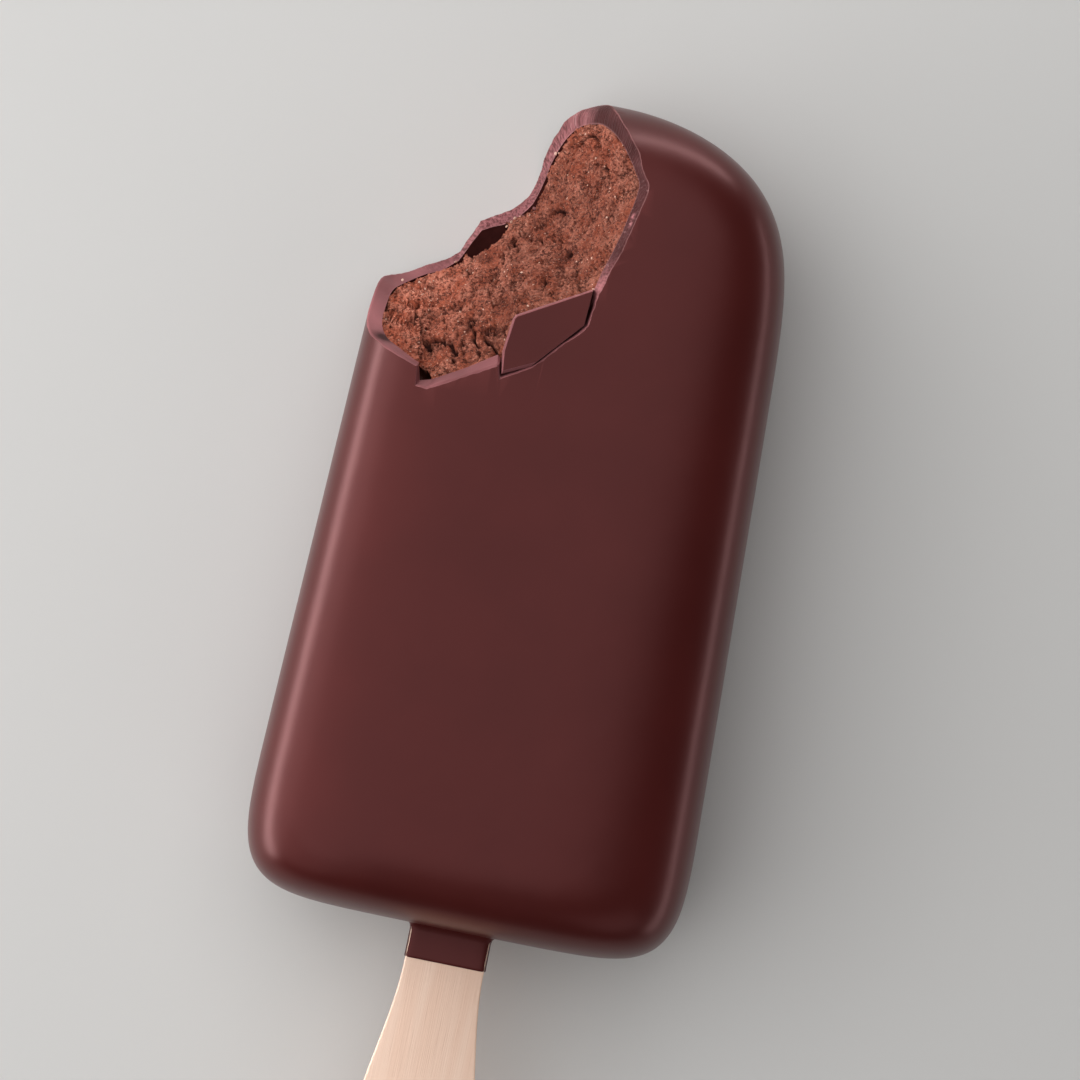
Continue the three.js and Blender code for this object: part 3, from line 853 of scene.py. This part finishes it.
def make_stick():
    """Flat stick: a strip extruded from station to station, given its thickness, edges eased."""
    end_radius = STICK_FLARE / 2
    end_centre = end_radius - STICK_OUT
    inner_radius = STICK_WAIST / 2
    inner_centre = STICK_IN - inner_radius
    round_steps, inner_steps, flare_steps = 24, 10, 30
    inner_step = 4
    stations = []
    for i in range(round_steps):
        angle = math.pi / 2 * (i + 0.5) / round_steps
        stations.append((inner_centre + inner_radius * math.cos(angle), inner_radius * math.sin(angle)))
    stations += [(inner_centre - i * inner_step, inner_radius) for i in range(inner_steps)]
    for i in range(flare_steps + 1):
        y = -FLARE_START + (end_centre + FLARE_START) * i / flare_steps
        stations.append((y, float(stick_half_width(-y))))
    for i in range(1, round_steps):
        angle = math.pi / 2 * i / round_steps
        stations.append((end_centre - end_radius * math.sin(angle), end_radius * math.cos(angle)))
    piece = new_piece("wooden_stick", bpy.ops.mesh.primitive_plane_add, size=2)
    edit(piece)
    select_vertices(piece, lambda v: v.co.y > 0)
    bpy.ops.mesh.delete(type="VERT")
    bpy.ops.mesh.select_all(action="SELECT")
    y, half = stations[0]
    bpy.ops.transform.resize(value=(half, 1, 1), center_override=(0, 0, 0))
    bpy.ops.transform.translate(value=(0, y + 1, STICK_HEIGHT - STICK_THICKNESS / 2))
    for next_y, next_half in stations[1:]:
        bpy.ops.mesh.extrude_edges_move(TRANSFORM_OT_translate={"value": (0, next_y - y, 0)})
        bpy.ops.transform.resize(value=(next_half / half, 1, 1), center_override=(0, next_y, 0))
        y, half = next_y, next_half
    bpy.ops.mesh.select_all(action="SELECT")
    bpy.ops.mesh.extrude_region_move(TRANSFORM_OT_translate={"value": (0, 0, STICK_THICKNESS)})
    done(piece)
    edit(piece)

    def level(edge):
        rises = [v.co.z - STICK_HEIGHT for v in edge.verts]
        return min(rises) > 0 or max(rises) < 0

    # The top and the underside become one face each, so that the rims bevel evenly.
    sharp = 1
    select_edges(piece, lambda edge: level(edge) and edge.calc_face_angle(0) < sharp)
    bpy.ops.mesh.dissolve_edges(use_verts=False)
    select_edges(piece, lambda edge: level(edge) and edge.calc_face_angle(0) > sharp)
    bpy.ops.mesh.bevel(offset=STICK_EDGE, segments=4, affect="EDGES")
    return done(piece)


def make_crystals(places):
    """Ice crystals on the torn face and crumbs at its edge: one small facetted grain, copied."""
    chance = random.Random(7)
    crystals = new_piece("ice_crystals", bpy.ops.mesh.primitive_ico_sphere_add,
                         subdivisions=1, radius=1)
    spots = [(place, EDGE_CRUMB_RADIUS) for place in EDGE_CRUMBS]
    while len(spots) < CRYSTAL_COUNT + len(EDGE_CRUMBS):
        spots.append((places[chance.randrange(len(places))], chance.choice(CRYSTAL_RADII)))
    grains = [crystals]
    while len(grains) < len(spots):
        grain = crystals.copy()
        grain.data = crystals.data.copy()
        bpy.context.collection.objects.link(grain)
        grains.append(grain)
    for grain, (place, size) in zip(grains, spots):
        grain.scale = [size * chance.uniform(0.4, 1.6) for _ in range(3)]
        grain.rotation_euler = [chance.uniform(0, math.pi) for _ in range(3)]
        grain.location = place
    only(crystals)
    for grain in grains:
        grain.select_set(True)
    bpy.ops.object.join()
    bpy.ops.object.transform_apply(location=True, rotation=True, scale=True)
    return crystals


# ---- Finishes ------------------------------------------------------------------------------

# Reddens the sheen of the chocolate.
TINT = (1, 0.45, 0.45, 1)


class Value:
    """A shader socket. Sums on it add Math nodes."""

    def __init__(self, finish, socket):
        self.finish = finish
        self.socket = socket

    def maths(self, operation, *terms):
        return self.finish.node("ShaderNodeMath", {"operation": operation}, dict(enumerate(terms)))

    def __add__(self, other):
        return self.maths("ADD", self, other)

    def __sub__(self, other):
        return self.maths("SUBTRACT", self, other)

    def __rsub__(self, other):
        return self.maths("SUBTRACT", other, self)

    def __mul__(self, other):
        return self.maths("MULTIPLY", self, other)

    def __abs__(self):
        return self.maths("ABSOLUTE", self)

    __radd__ = __add__
    __rmul__ = __mul__


class Finish:
    """A material in the making. Every node comes from the one method."""

    def __init__(self, name):
        self.material = bpy.data.materials.new(name)
        self.material.use_nodes = True
        self.tree = self.material.node_tree
        self.tree.nodes.clear()
        self.place = self.node("ShaderNodeTexCoord", output="Object")

    def node(self, kind, settings=None, inputs=None, output=0):
        node = self.tree.nodes.new(kind)
        for key, value in (settings or {}).items():
            setattr(node, key, value)
        for key, value in (inputs or {}).items():
            if isinstance(value, Value):
                self.tree.links.new(value.socket, node.inputs[key])
            else:
                node.inputs[key].default_value = value
        return Value(self, node.outputs[output]) if node.outputs else None

    def noise(self, size, detail=2, stretch=(1, 1, 1), roughness=0.5):
        """Noise from 0 to 1 with features of about a size in millimetres."""
        place = self.place
        if stretch != (1, 1, 1):
            shrink = [1 / part for part in stretch]
            place = self.node("ShaderNodeMapping", None, {"Vector": place, "Scale": shrink})
        inputs = {"Vector": place, "Scale": 1 / (size * MM), "Detail": detail, "Roughness": roughness}
        return self.node("ShaderNodeTexNoise", None, inputs, "Fac")

    def stored(self, name, output="Fac"):
        return self.node("ShaderNodeAttribute", {"attribute_name": name}, None, output)

    def ribs(self, size, detail):
        """Noise from 0 to 1 that changes along the break and not through the coating."""
        inputs = {"Vector": self.stored("skin_place", "Vector"), "Scale": 1 / size, "Detail": detail}
        return self.node("ShaderNodeTexNoise", None, inputs, "Fac")

    def ease(self, value, low, high):
        """0 below low, 1 above high and smooth between."""
        ends = {"Value": value, "From Min": low, "From Max": high}
        return self.node("ShaderNodeMapRange", {"interpolation_type": "SMOOTHSTEP"}, ends)

    def mix(self, share, first, second):
        """Colour between two colours."""
        first_input, second_input, colour_output = 6, 7, 2
        inputs = {0: share, first_input: first, second_input: second}
        return self.node("ShaderNodeMix", {"data_type": "RGBA"}, inputs, colour_output)

    def bump(self, height, depth, normal=None):
        """Relief of a height from 0 to 1 over a depth in millimetres."""
        inputs = {"Height": height, "Distance": depth * MM, "Strength": 1.0}
        if normal:
            inputs["Normal"] = normal
        return self.node("ShaderNodeBump", None, inputs)

    def finished(self, **inputs):
        """Closes the material with a Principled shader with these inputs."""
        named = {name.replace("_", " "): value for name, value in inputs.items()}
        surface = self.node("ShaderNodeBsdfPrincipled", None, named)
        self.node("ShaderNodeOutputMaterial", None, {"Surface": surface})
        return self.material


def chocolate_skin():
    """Smooth dark coating with a satin sheen, faint clouding and low waves."""
    finish = Finish("chocolate_skin")
    clouds = finish.ease(finish.noise(11, 3), 0.3, 0.7)
    colour = finish.mix(clouds, (0.054, 0.0076, 0.0066, 1), (0.062, 0.009, 0.0078, 1))
    waves = finish.bump(finish.noise(7, 2), 0.05)
    grain = finish.bump(finish.noise(0.5, 2), 0.0015, waves)
    return finish.finished(
        Base_Color=colour,
        Roughness=0.31 + 0.04 * finish.noise(3, 3),
        Specular_Tint=TINT,
        Normal=grain,
    )


def snapped_chocolate():
    """Broken wall of the coating: paler, rough, with fine ribs straight across it, painted shade and
    highlights in places, and a painted highlight along its rims.
    """
    finish = Finish("snapped_chocolate")
    ribbed = finish.stored("ribbed")
    ribs = finish.ribs(0.27, 3)
    bands = finish.ribs(0.6, 3)
    tone = finish.stored("tone")
    through = finish.stored("through")
    pale_share = ribbed * (0.2 + 0.8 * tone)
    dark = (0.05, 0.011, 0.011, 1)
    # Tone of the wall, with its painted shade and painted highlights.
    colour = finish.mix(tone, (0.035, 0.006, 0.006, 1), (0.38, 0.14, 0.148, 1))
    colour = finish.mix(0.7 * ribbed * finish.ease(ribs, 0.54, 0.4), colour, dark)
    colour = finish.mix(0.5 * pale_share * finish.ease(ribs, 0.6, 0.7), colour, (0.45, 0.23, 0.23, 1))
    colour = finish.mix(0.7 * pale_share * finish.ease(bands, 0.64, 0.74), colour, (0.5, 0.28, 0.28, 1))
    colour = finish.mix(0.5 * ribbed * finish.ease(bands, 0.4, 0.3), colour, dark)
    # Painted highlight along the rims where the snapped wall meets the skin and the inside.
    edge = (0.12 + 0.3 * ribbed) * (finish.ease(through, 0.07, 0) + finish.ease(through, 0.9, 1))
    colour = finish.mix(edge, colour, (0.36, 0.17, 0.165, 1))
    return finish.finished(
        Base_Color=colour,
        Roughness=0.45,
        Specular_IOR_Level=0.12,
        Specular_Tint=TINT,
        Normal=finish.bump(ribbed * ribs, 0.12, finish.bump(finish.noise(0.35, 3), 0.02)),
    )


def coating_inside():
    """Inner side of the coating, painted nearly black with random mottling as painted shade, since it
    shows only down the hollow and the gaps.
    """
    finish = Finish("coating_inside")
    colour = finish.mix(finish.noise(1.5, 3), (0.01, 0.002, 0.0015, 1), (0.05, 0.011, 0.009, 1))
    return finish.finished(
        Base_Color=colour,
        Roughness=0.7,
        Specular_IOR_Level=0.1,
        Specular_Tint=TINT,
        Normal=finish.bump(finish.noise(0.6, 3), 0.05),
    )


def torn_ice_cream():
    """Frozen, crumbly chocolate ice cream, with painted shade in its cracks, pits, hollow and between
    its crumbs, and painted light at the left.
    """
    finish = Finish("torn_ice_cream")
    clouds = finish.ease(finish.noise(2.4, 4), 0.36, 0.64)
    colour = finish.mix(clouds, (0.5, 0.12, 0.062, 1), (0.7, 0.245, 0.16, 1))
    # Painted shade in the gaps between crumbs.
    crumbs = finish.ease(finish.noise(0.36, 5, roughness=0.75), 0.4, 0.54)
    colour = finish.mix(crumbs, (0.22, 0.042, 0.021, 1), colour)
    grains = finish.ease(finish.noise(0.24, 3, roughness=0.6), 0.58, 0.7)
    colour = finish.mix(0.8 * grains, colour, (0.9, 0.46, 0.33, 1))
    # Painted shade: the ice cream darkens where it has less painted light, away from the left and the
    # top.
    colour = finish.mix(0.5 - 0.5 * finish.stored("painted_light_share"), colour, (0.02, 0.003, 0.001, 1))
    # Painted shade along hairline cracks, which the bump also presses in.
    wandering = finish.noise(1.0, 3, roughness=0.6) - 0.5
    hairlines = finish.ease(abs(wandering), 0.028, 0.008) * finish.ease(finish.noise(1.6, 2), 0.46, 0.54)
    colour = finish.mix(0.8 * hairlines, colour, (0.05, 0.008, 0.004, 1))
    # Painted shade: darker the deeper the recess, near black in cracks and the hollow.
    depth = finish.stored("depth")
    colour = finish.mix(0.7 * finish.ease(depth, 0.2, 0.6), colour, (0.07, 0.012, 0.006, 1))
    colour = finish.mix(finish.ease(depth, 0.6, 0.9), colour, (0.03, 0.003, 0.001, 1))
    relief = finish.noise(0.45, 5, roughness=0.75) - 0.4 * hairlines
    return finish.finished(
        Base_Color=colour,
        Roughness=0.5 + 0.25 * crumbs,
        Specular_IOR_Level=0.2,
        Specular_Tint=(1, 0.8, 0.75, 1),
        Normal=finish.bump(relief, 0.4),
    )


def ice_crystal():
    finish = Finish("ice_crystal")
    colour = finish.mix(finish.noise(1.1, 1), (0.5, 0.26, 0.19, 1), (0.85, 0.6, 0.48, 1))
    return finish.finished(Base_Color=colour, Roughness=0.25)


def birch():
    """Planed pale wood with fine grain along the stick."""
    finish = Finish("birch")
    fibres = finish.noise(0.16, 4, stretch=(1, 45, 1), roughness=0.6)
    bands = finish.noise(1.6, 2, stretch=(1, 22, 1))
    colour = finish.mix(finish.ease(bands, 0.3, 0.7), (0.93, 0.64, 0.49, 1), (0.98, 0.71, 0.56, 1))
    lines = finish.ease(fibres, 0.56, 0.74)
    colour = finish.mix(0.4 * lines, colour, (0.7, 0.4, 0.26, 1))
    return finish.finished(
        Base_Color=colour,
        Roughness=0.62,
        Normal=finish.bump(fibres, 0.03),
    )


def pale_floor():
    finish = Finish("pale_floor")
    colour = finish.mix(finish.noise(60, 2), (0.66, 0.65, 0.635, 1), (0.68, 0.67, 0.655, 1))
    return finish.finished(Base_Color=colour, Roughness=0.7)


# ---- The bar put together ------------------------------------------------------------------


def place_piece(piece, finishes, replaces=None, smooth=35):
    """Moves a modelled piece into the frame, finishes it and ties it to the body."""
    for finish in finishes:
        piece.data.materials.append(finish)
    into_frame(piece)
    bpy.ops.object.shade_smooth_by_angle(angle=math.radians(smooth))
    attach(piece, "root")
    if replaces:
        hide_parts(replaces)


def build_bar():
    skin, snapped = chocolate_skin(), snapped_chocolate()
    coating, surfaces = make_coating()
    place_piece(coating, [skin, snapped, coating_inside()], "coating")
    place_piece(make_plate(surfaces), [skin, snapped], "coating_shard", 12)
    ice_cream, bitten = make_ice_cream()
    place_piece(ice_cream, [torn_ice_cream()], "ice_cream", 60)
    place_piece(make_crystals(bitten), [ice_crystal()], None, 10)
    place_piece(make_stick(), [birch()], "stick")


# ---- Studio --------------------------------------------------------------------------------


def make_floor():
    just_below_the_bar = -0.00005
    floor = new_piece("floor", bpy.ops.mesh.primitive_plane_add, size=6)
    floor.location = (0, 0, just_below_the_bar)
    bpy.ops.object.transform_apply(location=True)
    floor.data.materials.append(pale_floor())


def soft_light(name, side, rise, away, width, height, brightness):
    """Rectangular soft light that faces the bar.

    Side is the angle round the bar from its right, rise the angle above the floor, in degrees.
    """
    side, rise = math.radians(side), math.radians(rise)
    level = math.cos(rise)
    outward = Vector((math.cos(side) * level, math.sin(side) * level, math.sin(rise)))
    lamp = bpy.data.lights.new(name, "AREA")
    lamp.shape = "RECTANGLE"
    lamp.size, lamp.size_y = width, height
    lamp.energy = brightness * math.pi * width * height
    light = bpy.data.objects.new(name, lamp)
    light.location = Vector((0, BODY_MIDDLE * MM, HALF_THICKNESS * MM)) + outward * away
    light.rotation_euler = (-outward).to_track_quat("-Z", "Y").to_euler()
    bpy.context.collection.objects.link(light)


def light_studio():
    soft_light("left_panel", 180, 5.5, 0.45, 0.7, 0.11, 10)
    soft_light("left_fill", 165, 30, 0.5, 0.8, 0.22, 1.4)
    soft_light("overhead_panel", 134, 62, 0.7, 1.17, 1.17, 1.25)
    soft_light("head_panel", 90, 3, 0.45, 0.5, 0.06, 9)
    soft_light("right_panel", 0, 1.5, 0.45, 0.7, 0.04, 6)
    soft_light("left_foot_fill", -130, 40, 0.6, 0.4, 0.4, 0.8)
    soft_light("right_foot_fill", -50, 35, 0.6, 0.4, 0.3, 0.6)
    world = bpy.data.worlds.new("studio")
    world.use_nodes = True
    background = world.node_tree.nodes["Background"]
    background.inputs["Color"].default_value = (0.8, 0.78, 0.78, 1)
    background.inputs["Strength"].default_value = 0.03
    bpy.context.scene.world = world
    bpy.context.scene.view_settings.view_transform = "Standard"


def set_camera():
    """Looks straight down on the lying bar, turned so that the bar leans to the right."""
    lens = bpy.data.cameras.new("camera")
    lens.lens = 180
    lens.sensor_width = 36
    camera = bpy.data.objects.new("camera", lens)
    camera.location = (0.000879, 0.0421 + BODY_START * MM, 0.5833)
    camera.rotation_euler = (0, 0, math.radians(11.57))
    bpy.context.collection.objects.link(camera)
    bpy.context.scene.camera = camera


build_bar()
make_floor()
light_studio()
set_camera()
